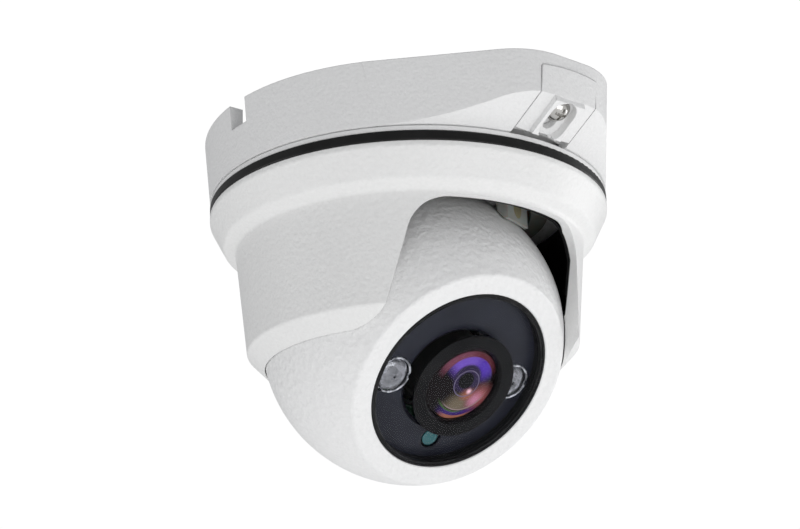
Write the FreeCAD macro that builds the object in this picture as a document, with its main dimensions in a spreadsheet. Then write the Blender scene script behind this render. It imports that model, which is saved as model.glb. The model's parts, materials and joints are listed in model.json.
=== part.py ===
import FreeCAD, Part
import math
import os
import re
import Sketcher

# Turret dome camera that hangs from a ceiling.
# Row frame: origin at the centre of the ceiling face, +Z up into the ceiling,
# latch nose towards -Y.
# Ball frame: origin at the ball's centre, +Z out along the lens axis, +Y up the window.

os.makedirs("parts", exist_ok=True)
doc = FreeCAD.newDocument("dome_camera")
sheet = doc.addObject("Spreadsheet::Sheet", "dims")

DIMENSIONS = {
    # clearances
    "running_gap": 0.3,
    "seat_gap": 0.05,
    "fit_gap": 0.1,
    # base housing
    "base_top_radius": 56.5,
    "base_low_radius": 55.0,
    "base_depth": 17.1,
    "base_bore": 52.5,
    "web_top": 6.8,
    "web_low": 9.0,
    "ledge_top": 12.2,
    "ledge_low": 14.2,
    "ledge_bore": 46.0,
    "notch_width": 7.0,
    "notch_offset": 0.35,
    "notch_depth": 6.8,
    "fixing_circle": 64.0,
    "fixing_hole": 2.3,
    "fixing_post": 4.5,
    "fixing_count": 3,
    "grommet_seat": 9.0,
    "grommet_flange": 11.0,
    "grommet_lip": 1.1,
    "cable_bore": 3.5,
    # nose and latch
    "nose_radius": 66.5,
    "nose_top_radius": 68.3,
    "nose_front": 66.0,
    "nose_kink": 10.7,
    "nose_side": 55.0,
    "nose_draft": 5.0,
    "nose_side_angle": 45.6,
    "nose_corner": 20.0,
    "latch_width": 18.3,
    "latch_top": 3.9,
    "latch_run": 12.3,
    "latch_plate": 3.0,
    "latch_lip": 2.2,
    "latch_gap": 0.25,
    "pad_width": 9.8,
    "pad_run": 11.8,
    "pad_height": 1.3,
    "slot_width": 7.5,
    "slot_upper": 4.4,
    "slot_lower": 8.9,
    "slot_floor": 1.0,
    "stem_slot_width": 3.3,
    "latch_screw_run": 4.7,
    "latch_screw_head": 3.1,
    "latch_screw_head_height": 1.9,
    "latch_screw_shank": 1.42,
    "latch_screw_length": 8.0,
    # carrier, seal and retainer
    "collar_radius": 54.6,
    "collar_top": 17.35,
    "collar_low": 18.6,
    "seal_low": 21.54,
    "seal_radius": 55.0,
    "seal_bore": 52.2,
    "seal_round": 0.55,
    "carrier_low": 21.2,
    "carrier_skirt": 52.0,
    "carrier_bore": 39.0,
    "carrier_ledge": 17.0,
    "spigot_radius": 45.7,
    "spigot_bore": 42.5,
    "spigot_top": 11.9,
    "retainer_radius": 49.0,
    "retainer_bore": 41.0,
    "retainer_height": 1.4,
    "retainer_screw_circle": 44.1,
    "retainer_screw_count": 3,
    "retainer_screw_heading": 30,
    "retainer_screw_head": 2.0,
    "retainer_screw_height": 1.1,
    "retainer_screw_shank": 0.95,
    "retainer_screw_length": 5.0,
    "retainer_hole": 1.1,
    "retainer_thread": 1.0,
    # cover
    "cover_heading": -3.8,
    "cover_radius": 55.0,
    "cover_shoulder": 22.8,
    "shoulder_round": 1.2,
    "shelf_outer_radius": 51.2,
    "shelf_outer_depth": 30.1,
    "shelf_outer_round": 2.2,
    "shelf_inner_radius": 47.95,
    "shelf_inner_depth": 31.5,
    "shelf_inner_round": 1.2,
    "cone_low_radius": 44.87,
    "cone_low_depth": 60.0,
    "cone_round": 0.9,
    "rim_radius": 40.55,
    "rim_depth": 64.4,
    "cover_rim_bore": 52.1,
    "cover_wall_upper": 44.9,
    "cover_wall_depth": 34.0,
    "cover_wall_knee": 44.7,
    "cover_knee_depth": 40.0,
    "cutout_top": 32.7,
    "cutout_top_half": 25.5,
    "cutout_low_half": 31.3,
    "cutout_low": 66.0,
    "cutout_foot": 64.55,
    "cutout_flare": 6.0,
    "cutout_foot_corner": 4.0,
    "cutout_corner": 10.0,
    "cover_screw_circle": 48.9,
    "cover_screw_count": 4,
    "cover_screw_heading": 45,
    "cover_screw_head": 2.6,
    "cover_screw_height": 1.8,
    "cover_screw_shank": 1.25,
    "cover_screw_length": 8.0,
    "cover_screw_hole": 1.45,
    "cover_thread": 1.3,
    "cover_thread_depth": 4.7,
    "cover_boss_radius": 3.0,
    "cover_boss_low": 27.5,
    "shroud_top": 22.0,
    "shroud_radius": 44.4,
    "shroud_wall": 0.8,
    "shroud_low": 47.5,
    "shroud_low_radius": 42.6,
    "shroud_setback": 0.9,
    # ball bracket
    "bracket_flange": 42.2,
    "bracket_flange_top": 15.2,
    "bracket_neck": 38.7,
    "bracket_bore": 34.0,
    "bracket_low": 22.0,
    "finger_width": 10.5,
    "finger_inner": 31.3,
    "finger_outer": 34.6,
    "finger_low": 30.6,
    "finger_heading": 18.5,
    "finger_count": 3,
    "pad_long": 3.1,
    "pad_short": 2.0,
    "pad_thick": 0.9,
    "pad_proud": 0.1,
    "pad_rise": 1.4,
    "arch_radius": 42.3,
    "arch_slot_front": 3.4,
    "bridge_length": 18.0,
    "bridge_offset": 25.0,
    "arch_width": 12.0,
    "arch_front": 6.5,
    "arch_low": 46.2,
    "arch_slot_low": 43.6,
    "arch_slot_width": 6.3,
    "spring_inner": 39.4,
    "spring_outer": 42.1,
    "spring_thick": 0.5,
    "spring_waves": 3,
    "spring_points": 36,
    # ball
    "ball_centre": 54.4,
    "ball_radius": 41.0,
    "ball_inner": 38.0,
    "lens_dip": 43.9,
    "ball_roll": 6.0,
    "front_plane": 26.5,
    "front_rim_round": 0.8,
    "rebate_round": 0.3,
    "front_inner": 19.8,
    "seam_plane": 17.3,
    "rear_plane": 34.4,
    "rear_inner": 32.0,
    "spigot_length": 3.8,
    "shell_spigot_radius": 33.5,
    "shell_spigot_bore": 31.5,
    "oring_inner": 34.7,
    "oring_outer": 36.3,
    "oring_depth": 1.6,
    # window
    "window_bore": 25.8,
    "ledge_plane": 22.0,
    "ledge_opening": 24.5,
    "mask_radius": 25.6,
    "mask_thick": 1.0,
    "mask_lens_hole": 14.2,
    "mask_bevel": 0.9,
    "mask_hole_drop": 1.0,
    "retain_inner": 24.5,
    "retain_rebate": 25.15,
    "retain_shelf": 25.1,
    "retain_front": 26.4,
    "glass_back": 26.25,
    "glass_front": 27.05,
    # infrared lamps and light sensor
    "led_spread": 18.9,
    "led_drop": 0.7,
    "led_lens_radius": 5.15,
    "led_lens_low": 15.5,
    "led_lens_rim": 23.0,
    "led_lens_top": 24.4,
    "sensor_offset": 19.0,
    "light_sensor_radius": 2.3,
    "light_sensor_top": 22.6,
    "light_sensor_hole": 3.0,
    "led_board_low": 12.5,
    "board_thick": 1.6,
    "led_board_radius": 23.2,
    "led_board_hole": 15.2,
    "emitter_size": 3.5,
    "emitter_height": 1.2,
    # lens
    "lens_shift_x": 2.0,
    "lens_shift_y": -1.4,
    "barrel_radius": 10.6,
    "barrel_front": 23.2,
    "barrel_rear": -8.0,
    "barrel_flange": 12.5,
    "barrel_flange_top": -3.4,
    "barrel_front_bore": 9.4,
    "barrel_rear_bore": 5.0,
    "barrel_step": 4.0,
    "ring_clearance": 0.15,
    "focus_neck": 11.4,
    "focus_grip": 13.8,
    "focus_low": 4.2,
    "focus_grip_top": 10.5,
    "focus_flange": 15.0,
    "focus_flange_low": 25.3,
    "focus_front": 26.0,
    "focus_mouth": 11.4,
    "zoom_low": -3.1,
    "zoom_top": 3.9,
    "zoom_grip": 13.8,
    "lever_radius": 1.1,
    "groove_count": 24,
    "groove_radius": 0.5,
    "groove_rise": 0.15,
    "lever_reach": 19.0,
    "front_lens_edge": 24.2,
    "front_lens_crown": 25.7,
    "inner_lens_low": 11.0,
    "inner_lens_top": 14.5,
    "rear_lens_low": -7.0,
    "rear_lens_top": -2.0,
    "holder_width": 32.0,
    "holder_depth": 21.0,
    "holder_low": -17.0,
    "holder_cavity": 9.4,
    "shutter_low": -12.6,
    "shutter_thick": 0.8,
    "shutter_length": 21.0,
    "shutter_width": 10.0,
    "shutter_travel": 6.0,
    "filter_radius": 3.8,
    "chip_size": 8.6,
    "chip_height": 1.4,
    # boards
    "sensor_board_radius": 24.0,
    "main_board_radius": 26.0,
    "main_board_low": -25.5,
    "post_circle": 21.0,
    "post_radius": 2.2,
    "post_count": 4,
    "post_heading": 45,
    "standoff_radius": 2.0,
    "board_screw_head": 2.2,
    "board_screw_height": 1.3,
    "board_screw_shank": 0.6,
    "board_screw_hole": 0.7,
    "connector_length": 9.0,
    "connector_width": 4.2,
    "connector_height": 3.4,
    "connector_offset": 16.5,
    # tilt hub
    "hub_hole": 8.0,
    "hub_spigot": 7.7,
    "hub_disc": 12.0,
    "hub_disc_thick": 1.6,
    "hub_nut_radius": 11.0,
    "hub_nut_thick": 2.0,
    "hub_stem": 3.0,
    "hub_stem_top": 43.2,
    "hub_cable_bore": 2.0,
}
for row, (name, value) in enumerate(DIMENSIONS.items(), start=1):
    sheet.set(f"A{row}", name.replace("_", " "))
    sheet.set(f"B{row}", str(value))
    sheet.setAlias(f"B{row}", name)
doc.recompute()

WORD = re.compile(r"\b[a-z][a-z_0-9]*\b")


def bound(expression):
    """The expression with every dimension's name pointing at the sheet."""
    def pointed(found):
        word = found.group()
        return "dims." + word if word in DIMENSIONS else word

    return WORD.sub(pointed, str(expression))


def number(expression):
    """The value that an expression of dimensions has now."""
    return float(sheet.evalExpression(str(expression)))


def bind(thing, **properties):
    """Tie properties of an object to expressions; a double underscore stands for a dot."""
    for name, expression in properties.items():
        thing.setExpression(name.replace("__", "."), bound(expression))


# ---------------------------------------------------------------- building blocks
def new_body(label):
    body = doc.addObject("PartDesign::Body", label)
    body.Label = label
    return body


def outline(body, plane, points):
    """A closed outline of straight runs in one of the body's own origin planes."""
    sketch = body.newObject("Sketcher::SketchObject", body.Name + "_outline")
    origin_plane = next(item for item in body.Origin.OriginFeatures if item.Role == plane)
    sketch.AttachmentSupport = (origin_plane, [""])
    sketch.MapMode = "FlatFace"
    corners = [FreeCAD.Vector(number(across), number(up), 0) for across, up in points]
    count = len(corners)
    for index, corner in enumerate(corners):
        sketch.addGeometry(Part.LineSegment(corner, corners[(index + 1) % count]))
    for index in range(count):
        sketch.addConstraint(Sketcher.Constraint("Coincident", index, 2, (index + 1) % count, 1))
    for index, (across, up) in enumerate(points):
        for kind, expression in (("DistanceX", across), ("DistanceY", up)):
            place = sketch.addConstraint(
                Sketcher.Constraint(kind, -1, 1, index, 1, number(expression)))
            name = f"{kind[-1].lower()}_{index}"
            sketch.renameConstraint(place, name)
            sketch.setExpression(f"Constraints.{name}", bound(expression))
    return sketch


def turned(label, points):
    """A body turned about Z from (radius, height) corners."""
    body = new_body(label)
    sketch = outline(body, "XZ_Plane", points)
    turn = body.newObject("PartDesign::Revolution", label + "_turn")
    turn.Profile = sketch
    turn.ReferenceAxis = (sketch, ["V_Axis"])
    turn.Angle = 360
    sketch.Visibility = False
    return body


def extruded(label, plane, points, length, start=0):
    """A body padded from an outline; the pad is centred on the plane unless start is given."""
    body = new_body(label)
    sketch = outline(body, plane, points)
    pad = body.newObject("PartDesign::Pad", label + "_pad")
    pad.Profile = sketch
    pad.setExpression("Length", bound(length))
    if start == "middle":
        pad.Midplane = True
    else:
        sketch.setExpression("AttachmentOffset.Base.z", bound(start))
    return body


def rounded(body, radius, wanted):
    """Fillet the edges of a body's tip that the test picks."""
    doc.recompute()
    base = body.Tip
    names = [f"Edge{index}" for index, edge in enumerate(base.Shape.Edges, start=1) if wanted(edge)]
    if not names:
        raise RuntimeError(f"no edge to round on {body.Label}")
    fillet = body.newObject("PartDesign::Fillet", body.Name + "_round")
    fillet.Base = (base, names)
    fillet.setExpression("Radius", bound(radius))
    return body


CLOSE = 0.02


def circle_at(radius, height):
    """A test for a whole circle of this radius at this height."""
    def wanted(edge):
        if not isinstance(edge.Curve, Part.Circle):
            return False
        same_size = abs(edge.Curve.Radius - number(radius)) < CLOSE
        return same_size and abs(edge.Curve.Center.z - number(height)) < CLOSE
    return wanted


def cylinder(label, radius, height, x=0, y=0, z=0):
    piece = doc.addObject("Part::Cylinder", label)
    bind(piece, Radius=radius, Height=height)
    for axis, expression in (("x", x), ("y", y), ("z", z)):
        if expression != 0:
            piece.setExpression(f"Placement.Base.{axis}", bound(expression))
    return piece


def box(label, length, width, height, x=0, y=0, z=0):
    """A box centred on x and y, standing on z."""
    piece = doc.addObject("Part::Box", label)
    bind(piece, Length=length, Width=width, Height=height,
         Placement__Base__x=f"({x}) - ({length}) / 2",
         Placement__Base__y=f"({y}) - ({width}) / 2",
         Placement__Base__z=z)
    return piece


def ball(label, radius, z=0):
    """A ball with its poles on a level line, so that its seam stays clear of turned pieces' seams."""
    piece = doc.addObject("Part::Sphere", label)
    piece.Placement.Rotation = FreeCAD.Rotation(FreeCAD.Vector(1, 0, 0), 90)
    bind(piece, Radius=radius, Placement__Base__z=z)
    return piece


def ball_slice(label, radius, low, high):
    """A ball cut flat at a low and a high plane."""
    piece = doc.addObject("Part::Sphere", label)
    bind(piece, Radius=radius,
         Angle1=f"asin(({low}) / ({radius}))", Angle2=f"asin(({high}) / ({radius}))")
    return piece


def fused(label, pieces):
    whole = doc.addObject("Part::MultiFuse", label)
    whole.Shapes = pieces
    return whole


def shared(label, pieces):
    whole = doc.addObject("Part::MultiCommon", label)
    whole.Shapes = pieces
    return whole


def cut(label, piece, tools):
    """The piece with each tool cut away in turn; the last result carries the label."""
    for index, tool in enumerate(tools, start=1):
        last = index == len(tools)
        whole = doc.addObject("Part::Cut", label if last else f"{label}_cut_{index}")
        whole.Base = piece
        whole.Tool = tool
        piece = whole
    return piece


def group(label, pieces):
    whole = doc.addObject("Part::Compound", label)
    whole.Links = pieces
    return whole


def round_spots(radius, count, first=0):
    """Expressions of evenly spaced places on a circle, with the angle of each in degrees."""
    spots = []
    for index in range(int(number(count))):
        angle = number(first) + index * 360 / int(number(count))
        spots.append((f"({radius}) * cos({angle})", f"({radius}) * sin({angle})", angle))
    return spots


def pan_screw(label, head, head_height, shank, length, x=0, y=0, z=0, up=True):
    """A pan-head screw with its head's seat at z; its shank runs away from the head."""
    side = 1 if up else -1
    head_low = z if up else f"({z}) - ({head_height})"
    shank_low = f"({z}) - ({length})" if up else z
    crown_radius = f"({head}) * 1.25"
    crown = ball(label + "_crown", crown_radius, f"({z}) + {side} * (({head_height}) - {crown_radius})")
    bind(crown, Placement__Base__x=x, Placement__Base__y=y)
    blank = cylinder(label + "_blank", head, head_height, x, y, head_low)
    dome = shared(label + "_dome", [blank, crown])
    rod = cylinder(label + "_shank", shank, length, x, y, shank_low)
    recess_low = f"({z}) + ({head_height}) * 0.45" if up else f"({z}) - ({head_height}) - 1"
    slots = []
    for name, long_x, long_y in (("a", 1.15, 0.26), ("b", 0.26, 1.15)):
        slots.append(box(f"{label}_slot_{name}", f"({head}) * {long_x}", f"({head}) * {long_y}",
                         f"({head_height}) * 0.55 + 1", x, y, recess_low))
    head_cut = cut(label + "_head", dome, slots)
    return fused(label, [head_cut, rod])


# ---------------------------------------------------------------- base housing
def nose_envelope(label):
    return turned(label, [
        ("0", "0"),
        ("nose_top_radius", "0"),
        ("nose_radius", "-nose_kink"),
        ("base_low_radius", "-base_depth"),
        ("0", "-base_depth"),
    ])


def nose_prism():
    """The nose seen from above: two tangent sides that run out to a flat front, all with draft."""
    side = "nose_side"
    turn = "nose_side_angle"
    half = f"(({side} - nose_front * cos({turn})) / sin({turn}))"
    points = [
        (f"{side} * sin({turn})", f"-{side} * cos({turn})"),
        (half, "-nose_front"),
        (f"-{half}", "-nose_front"),
        (f"-{side} * sin({turn})", f"-{side} * cos({turn})"),
    ]
    body = extruded("nose_prism", "XY_Plane", points, "base_depth", "-base_depth")
    bind(body.Tip, TaperAngle="nose_draft")

    def is_front_corner(edge):
        bounds = edge.BoundBox
        upright = bounds.ZLength > number("base_depth") / 4
        in_front = bounds.YMin < -number("base_low_radius")
        aside = min(abs(bounds.XMin), abs(bounds.XMax)) > number("latch_width") / 4
        return upright and in_front and aside

    return rounded(body, "nose_corner", is_front_corner)


def slide_frame():
    """The facet's own directions in the YZ plane: down the slope, and out of it."""
    drop = number("base_depth - nose_kink")
    run = number("nose_radius - base_low_radius")
    slope = math.hypot(drop, run)
    down = FreeCAD.Vector(0, run / slope, -drop / slope)
    out = FreeCAD.Vector(0, -drop / slope, -run / slope)
    return down, out


FACET = "sqrt((nose_radius - base_low_radius)^2 + (base_depth - nose_kink)^2)"
DOWN_Y = f"((nose_radius - base_low_radius) / {FACET})"
DOWN_Z = f"(-(base_depth - nose_kink) / {FACET})"


def facet_point(run, depth):
    """Corner at a run down the facet and a depth under its surface, in the YZ plane."""
    y = f"-nose_radius + ({run}) * {DOWN_Y} - ({depth}) * {DOWN_Z}"
    z = f"-nose_kink + ({run}) * {DOWN_Z} + ({depth}) * {DOWN_Y}"
    return y, z


def facet_crossing(y, depth):
    """Corner on the plane at a depth under the facet, at a given Y."""
    slope = f"({DOWN_Z} / {DOWN_Y})"
    base_y, base_z = facet_point("0", depth)
    return y, f"({base_z}) + (({y}) - ({base_y})) * {slope}"


def latch_section(grow, run, front):
    """The bent latch in side view; grow moves its hidden faces outwards."""
    lip = f"-nose_radius + latch_lip + {grow}"
    top = f"-latch_top + {grow} / {DOWN_Y}"
    slope = f"({DOWN_Z} / {DOWN_Y})"
    return [
        (front, f"({top}) + (({front}) + nose_radius) * {slope}"),
        (front, "-nose_kink - 3"),
        facet_point(run, "-2.5"),
        facet_point(run, f"latch_plate + {grow}"),
        facet_crossing(lip, f"latch_plate + {grow}"),
        (lip, f"({top}) + (({lip}) + nose_radius) * {slope}"),
    ]


def on_facet(piece, run, depth):
    """Lay a piece built about Z onto the facet, with its Z out of the surface and its Y down."""
    down, out = slide_frame()
    turn = FreeCAD.Rotation(down.cross(out), down, out, "ZXY")
    kink = FreeCAD.Vector(0, -number("nose_radius"), -number("nose_kink"))
    place = kink + down * number(run) - out * number(depth)
    piece.Placement = FreeCAD.Placement(place, turn)
    return piece


def stadium(label, width, upper, lower, height):
    """A long hole's solid along the facet: two round ends and the stretch between them."""
    pieces = [
        cylinder(label + "_upper", f"({width}) / 2", height, 0, 0, 0),
        cylinder(label + "_lower", f"({width}) / 2", height, 0, f"({lower}) - ({upper})", 0),
        box(label + "_middle", width, f"({lower}) - ({upper})", height,
            0, f"(({lower}) - ({upper})) / 2", 0),
    ]
    return fused(label, pieces)


def base_housing():
    disc = turned("base_disc", [
        ("0", "0"),
        ("base_top_radius", "0"),
        ("base_low_radius", "-base_depth"),
        ("0", "-base_depth"),
    ])
    nose = shared("nose", [nose_prism(), nose_envelope("nose_envelope")])
    solid = fused("base_solid", [disc, nose])
    upper_room = cylinder("upper_room", "base_bore", "web_top + 1", z="-web_top")
    lower_room = turned("lower_room", [
        ("0", "-web_low"),
        ("base_bore", "-web_low"),
        ("base_bore", "-ledge_top"),
        ("ledge_bore", "-ledge_top"),
        ("ledge_bore", "-ledge_low"),
        ("base_bore", "-ledge_low"),
        ("base_bore", "-base_depth - 1"),
        ("0", "-base_depth - 1"),
    ])
    notch = box("notch", "20", "notch_width", "notch_depth + 1",
                "-base_bore", "-notch_offset", "-notch_depth")
    latch_pocket = extruded("latch_pocket", "YZ_Plane",
                            latch_section("latch_gap", "20", "-nose_top_radius - 2"),
                            "latch_width + 2 * latch_gap", "middle")
    thread = on_facet(cylinder("latch_thread", "latch_screw_shank + 0.06", "latch_screw_length + 1"),
                      "latch_screw_run", "slot_floor + latch_screw_length + 0.3")
    shell = cut("base_shell", solid, [upper_room, lower_room, notch, latch_pocket, thread])
    posts = []
    holes = [cylinder("grommet_hole", "grommet_seat", "5", z="-web_low - 1")]
    for index, (x, y, _) in enumerate(round_spots("fixing_circle / 2", "fixing_count")):
        posts.append(cylinder(f"fixing_post_{index}", "fixing_post", "web_low", x, y, "-web_low"))
        holes.append(cylinder(f"fixing_hole_{index}", "fixing_hole", "web_low + 2",
                              x, y, "-web_low - 1"))
    return cut("base_housing", fused("base_with_posts", [shell] + posts), holes)


def cable_grommet():
    return turned("cable_grommet", [
        ("cable_bore", "-web_top + grommet_lip"),
        ("grommet_flange", "-web_top + grommet_lip"),
        ("grommet_flange", "-web_top"),
        ("grommet_seat", "-web_top"),
        ("grommet_seat", "-web_low"),
        ("grommet_flange", "-web_low"),
        ("grommet_flange - 0.6", "-web_low - grommet_lip"),
        ("cable_bore", "-web_low - grommet_lip"),
    ])


# ---------------------------------------------------------------- latch
def latch_slider():
    plate = shared("latch_plate_blank", [
        extruded("latch_prism", "YZ_Plane", latch_section("0", "latch_run", "-nose_top_radius - 1"),
                 "latch_width", "middle"),
        nose_envelope("latch_envelope"),
    ])
    pad = extruded("latch_pad", "YZ_Plane", [
        facet_point("0", "0.5"),
        facet_crossing("-nose_radius", "-pad_height"),
        facet_point("pad_run", "-pad_height"),
        facet_point("pad_run", "0.5"),
    ], "pad_width", "middle")
    recess = on_facet(stadium("latch_recess", "slot_width", "slot_upper", "slot_lower", "6"),
                      "slot_upper", "slot_floor")
    slot = on_facet(stadium("latch_slot", "stem_slot_width", "slot_upper", "slot_lower", "9"),
                    "slot_upper", "latch_plate + 1")
    return cut("latch_slider", fused("latch_solid", [plate, pad]), [recess, slot])


def latch_screw():
    screw = pan_screw("latch_screw", "latch_screw_head", "latch_screw_head_height",
                      "latch_screw_shank", "latch_screw_length")
    return on_facet(screw, "latch_screw_run", "slot_floor - seat_gap")


# ---------------------------------------------------------------- turning head
def cover_screw_spots():
    return round_spots("cover_screw_circle", "cover_screw_count", "cover_screw_heading")


def retainer_screw_spots():
    return round_spots("retainer_screw_circle", "retainer_screw_count", "retainer_screw_heading")


def carrier_ring():
    ring = turned("carrier_blank", [
        ("spigot_bore", "-spigot_top"),
        ("spigot_radius", "-spigot_top"),
        ("spigot_radius", "-collar_top"),
        ("collar_radius", "-collar_top"),
        ("collar_radius", "-collar_low"),
        ("carrier_skirt", "-collar_low"),
        ("carrier_skirt", "-carrier_low"),
        ("carrier_bore", "-carrier_low"),
        ("carrier_bore", "-carrier_ledge"),
        ("spigot_bore", "-carrier_ledge"),
    ])
    holes = []
    for index, (x, y, _) in enumerate(cover_screw_spots()):
        holes.append(cylinder(f"carrier_hole_{index}", "cover_screw_hole", "10",
                              x, y, "-carrier_low - 2"))
    for index, (x, y, _) in enumerate(retainer_screw_spots()):
        holes.append(cylinder(f"carrier_thread_{index}", "retainer_thread", "5",
                              x, y, "-spigot_top - 4"))
    return cut("carrier_ring", ring, holes)


def seal_ring():
    body = turned("seal_ring", [
        ("seal_bore", "-collar_low"),
        ("seal_radius", "-collar_low"),
        ("seal_radius", "-seal_low"),
        ("seal_bore", "-seal_low"),
    ])
    rounded(body, "seal_round", circle_at("seal_radius", "-collar_low"))
    return rounded(body, "seal_round", circle_at("seal_radius", "-seal_low"))


def retainer_ring():
    ring = turned("retainer_blank", [
        ("retainer_bore", "-spigot_top"),
        ("retainer_radius", "-spigot_top"),
        ("retainer_radius", "-spigot_top + retainer_height"),
        ("retainer_bore", "-spigot_top + retainer_height"),
    ])
    holes = []
    for index, (x, y, _) in enumerate(retainer_screw_spots()):
        holes.append(cylinder(f"retainer_hole_{index}", "retainer_hole", "4", x, y, "-spigot_top - 1"))
    return cut("retainer_ring", ring, holes)


def retainer_screws():
    screws = []
    for index, (x, y, _) in enumerate(retainer_screw_spots()):
        screws.append(pan_screw(f"retainer_screw_{index}", "retainer_screw_head",
                                "retainer_screw_height", "retainer_screw_shank", "retainer_screw_length",
                                x, y, "-spigot_top + retainer_height"))
    return group("retainer_screws", screws)


def cutout_tool(label, grow):
    """The opening in front of the ball, as a wedge with round corners that flares out at its foot."""
    low = f"cutout_low_half + {grow}"
    top = f"cutout_top_half + {grow}"
    foot = f"cutout_low_half + {grow} + cutout_flare"
    body = extruded(label, "XZ_Plane", [
        (f"-({foot})", "-cutout_low"),
        (f"-({foot})", "-cutout_foot"),
        (f"-({low})", "-cutout_foot"),
        (f"-({top})", f"-cutout_top + {grow}"),
        (top, f"-cutout_top + {grow}"),
        (low, "-cutout_foot"),
        (foot, "-cutout_foot"),
        (foot, "-cutout_low"),
    ], "nose_radius")

    def runs_through(edge):
        return edge.BoundBox.YLength > 20 and abs(edge.BoundBox.XMax) < number(low) + 1

    def is_upper_corner(edge):
        return runs_through(edge) and edge.BoundBox.ZMin > -number("cutout_top") - 1

    def is_foot_corner(edge):
        top = edge.BoundBox.ZMax
        at_foot = -number("cutout_low") + 0.5 < top < -number("cutout_foot") + 0.5
        return runs_through(edge) and at_foot

    rounded(body, "cutout_foot_corner", is_foot_corner)
    return rounded(body, "cutout_corner", is_upper_corner)


def cover():
    body = turned("cover_blank", [
        ("cover_rim_bore", "-seal_low"),
        ("cover_radius", "-seal_low"),
        ("cover_radius", "-cover_shoulder"),
        ("shelf_outer_radius", "-shelf_outer_depth"),
        ("shelf_inner_radius", "-shelf_inner_depth"),
        ("cone_low_radius", "-cone_low_depth"),
        ("rim_radius", "-rim_depth"),
        ("rim_radius - 2.5", "-rim_depth"),
        ("rim_radius - 1.5", "-ball_centre - 2"),
        ("ball_radius - 0.2", "-ball_centre - 1"),
        ("cover_wall_knee", "-cover_knee_depth"),
        ("cover_wall_upper", "-cover_wall_depth"),
        ("cover_rim_bore", "-cover_boss_low + 2.5"),
    ])
    rounded(body, "shoulder_round", circle_at("cover_radius", "-cover_shoulder"))
    rounded(body, "shelf_outer_round", circle_at("shelf_outer_radius", "-shelf_outer_depth"))
    rounded(body, "shelf_inner_round", circle_at("shelf_inner_radius", "-shelf_inner_depth"))
    rounded(body, "cone_round", circle_at("cone_low_radius", "-cone_low_depth"))
    seat = ball("cover_seat", "ball_radius + running_gap", "-ball_centre")
    bosses = []
    holes = []
    for index, (x, y, _) in enumerate(cover_screw_spots()):
        bosses.append(cylinder(f"cover_boss_{index}", "cover_boss_radius", "cover_boss_low - seal_low",
                               x, y, "-cover_boss_low"))
        holes.append(cylinder(f"cover_thread_{index}", "cover_thread", "cover_thread_depth + 0.1",
                              x, y, "-seal_low - cover_thread_depth"))
    shell = fused("cover_shell", [body] + bosses)
    return cut("cover", shell, [seat, cutout_tool("cover_cutout", "0")] + holes)


def cover_screws():
    screws = []
    for index, (x, y, _) in enumerate(cover_screw_spots()):
        screws.append(pan_screw(f"cover_screw_{index}", "cover_screw_head", "cover_screw_height",
                                "cover_screw_shank", "cover_screw_length", x, y, "-collar_top"))
    return group("cover_screws", screws)


def inner_shroud():
    shell = turned("shroud_blank", [
        ("shroud_radius - shroud_wall", "-shroud_top"),
        ("shroud_radius", "-shroud_top"),
        ("shroud_radius", "-cover_knee_depth"),
        ("shroud_low_radius", "-shroud_low"),
        ("shroud_low_radius - shroud_wall", "-shroud_low"),
        ("shroud_radius - shroud_wall", "-cover_knee_depth"),
    ])
    return cut("inner_shroud", shell, [cutout_tool("shroud_cutout", "shroud_setback")])


def wave_spring():
    """A flat wire ring that rises and falls three times round."""
    inner, outer = number("spring_inner"), number("spring_outer")
    low = -number("bracket_flange_top") + number("seat_gap")
    high = -number("spigot_top") - number("seat_gap")
    thick = number("spring_thick")
    waves = number("spring_waves")
    count = int(number("spring_points"))
    middle = (low + high - thick) / 2
    swing = (high - low - thick) / 2
    edges = []
    for radius in (inner, outer):
        crest = []
        for index in range(count):
            angle = 2 * math.pi * index / count
            crest.append(FreeCAD.Vector(radius * math.cos(angle), radius * math.sin(angle),
                                        middle + swing * math.sin(waves * angle)))
        curve = Part.BSplineCurve()
        curve.interpolate(crest, PeriodicFlag=True)
        edges.append(curve.toShape())
    surface = Part.makeRuledSurface(edges[0], edges[1])
    piece = doc.addObject("Part::Feature", "wave_spring")
    piece.Shape = surface.extrude(FreeCAD.Vector(0, 0, thick))
    return piece


# ---------------------------------------------------------------- ball bracket
def ball_bracket():
    flange = turned("bracket_flange_ring", [
        ("finger_inner", "-bracket_flange_top"),
        ("bracket_flange", "-bracket_flange_top"),
        ("bracket_flange", "-carrier_ledge + seat_gap"),
        ("bracket_neck", "-carrier_ledge + seat_gap"),
        ("bracket_neck", "-bracket_low"),
        ("bracket_bore", "-bracket_low"),
        ("bracket_bore", "-carrier_ledge"),
        ("finger_inner", "-carrier_ledge"),
    ])
    pieces = [flange, bracket_arch()]
    pockets = []
    spots = round_spots("(finger_inner + finger_outer) / 2", "finger_count", "finger_heading - 90")
    for index, (x, y, angle) in enumerate(spots):
        finger = box(f"finger_{index}", "finger_outer - finger_inner", "finger_width",
                     "finger_low - carrier_ledge", 0, 0, "-finger_low")
        half_depth = "(finger_outer - finger_inner) / 2"
        bind(
            finger,
            Placement__Rotation__Angle=angle,
            Placement__Base__x=f"({x}) - {half_depth} * cos({angle}) + finger_width / 2 * sin({angle})",
            Placement__Base__y=f"({y}) - {half_depth} * sin({angle}) - finger_width / 2 * cos({angle})",
        )
        pieces.append(finger)
        pockets.append(finger_pad(f"pad_pocket_{index}", angle, "fit_gap"))
    bridge = box("arch_bridge", "arch_width", "bridge_length", "carrier_ledge - bracket_flange_top",
                 0, "bridge_offset", "-carrier_ledge")
    pieces.append(bridge)
    slot = box("arch_slot", "arch_slot_width", "60", "50", 0, "30 - arch_slot_front", "-arch_slot_low")
    room = ball("bracket_room", "ball_radius + running_gap + seat_gap", "-ball_centre")
    return cut("ball_bracket", fused("bracket_solid", pieces), [room, slot] + pockets)


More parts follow.
